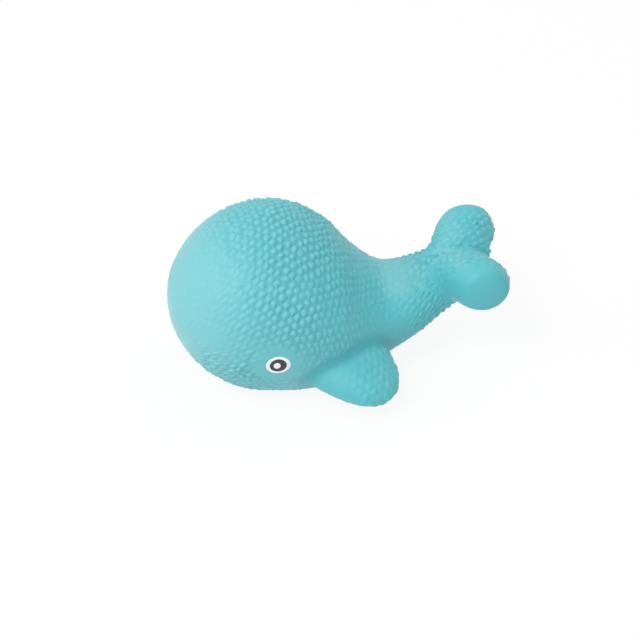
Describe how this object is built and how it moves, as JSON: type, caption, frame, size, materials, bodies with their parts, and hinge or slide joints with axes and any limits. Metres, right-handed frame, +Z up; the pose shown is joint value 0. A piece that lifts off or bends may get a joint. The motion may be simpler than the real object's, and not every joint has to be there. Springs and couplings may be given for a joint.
{
  "type": "squeaky bath toy",
  "caption": "Hollow rubber whale bath toy with a big round head, side flippers, raised fat flukes, painted eyes and a reed squeaker in its flat belly",
  "frame": {"origin": "middle of the bounding box in plan, on the surface that the belly lies on", "axes": "+X along the body from the head to the tail, +Y to the whale's right side, +Z up"},
  "size_m": [0.13, 0.0908, 0.068],
  "materials": {
    "rubber_skin": "soft matte natural rubber, turquoise, pebbled",
    "squeaker_plastic": "satin ivory plastic",
    "reed_block_plastic": "satin grey plastic",
    "reed_plastic": "thin smooth film",
    "white_paint": "satin white paint",
    "dark_paint": "satin charcoal paint"
  },
  "bodies": {
    "skin": {"body_skin": "rubber_skin", "eye_white_left": "white_paint", "pupil_left": "dark_paint", "eye_glint_left": "white_paint", "eye_white_right": "white_paint", "pupil_right": "dark_paint", "eye_glint_right": "white_paint"},
    "squeaker": {"squeaker_housing": "squeaker_plastic", "reed_seat": "reed_block_plastic", "reed_clamp": "reed_block_plastic"},
    "reed": {"reed": "reed_plastic"}
  },
  "joints": [
    {"name": "belly_squeeze", "type": "slide", "parent": "skin", "child": "squeaker", "axis": [0, 0, 1], "range_m": [0, 0.012], "stiffness_N_per_m": 800, "deforming": ["body_skin"]},
    {"name": "reed_flex", "type": "hinge", "parent": "squeaker", "child": "reed", "pos_m": [-0.0221, 0, 0.00618], "axis": [0, 1, 0], "range_deg": [-3, 3], "stiffness_Nm_per_rad": 0.001}
  ]
}
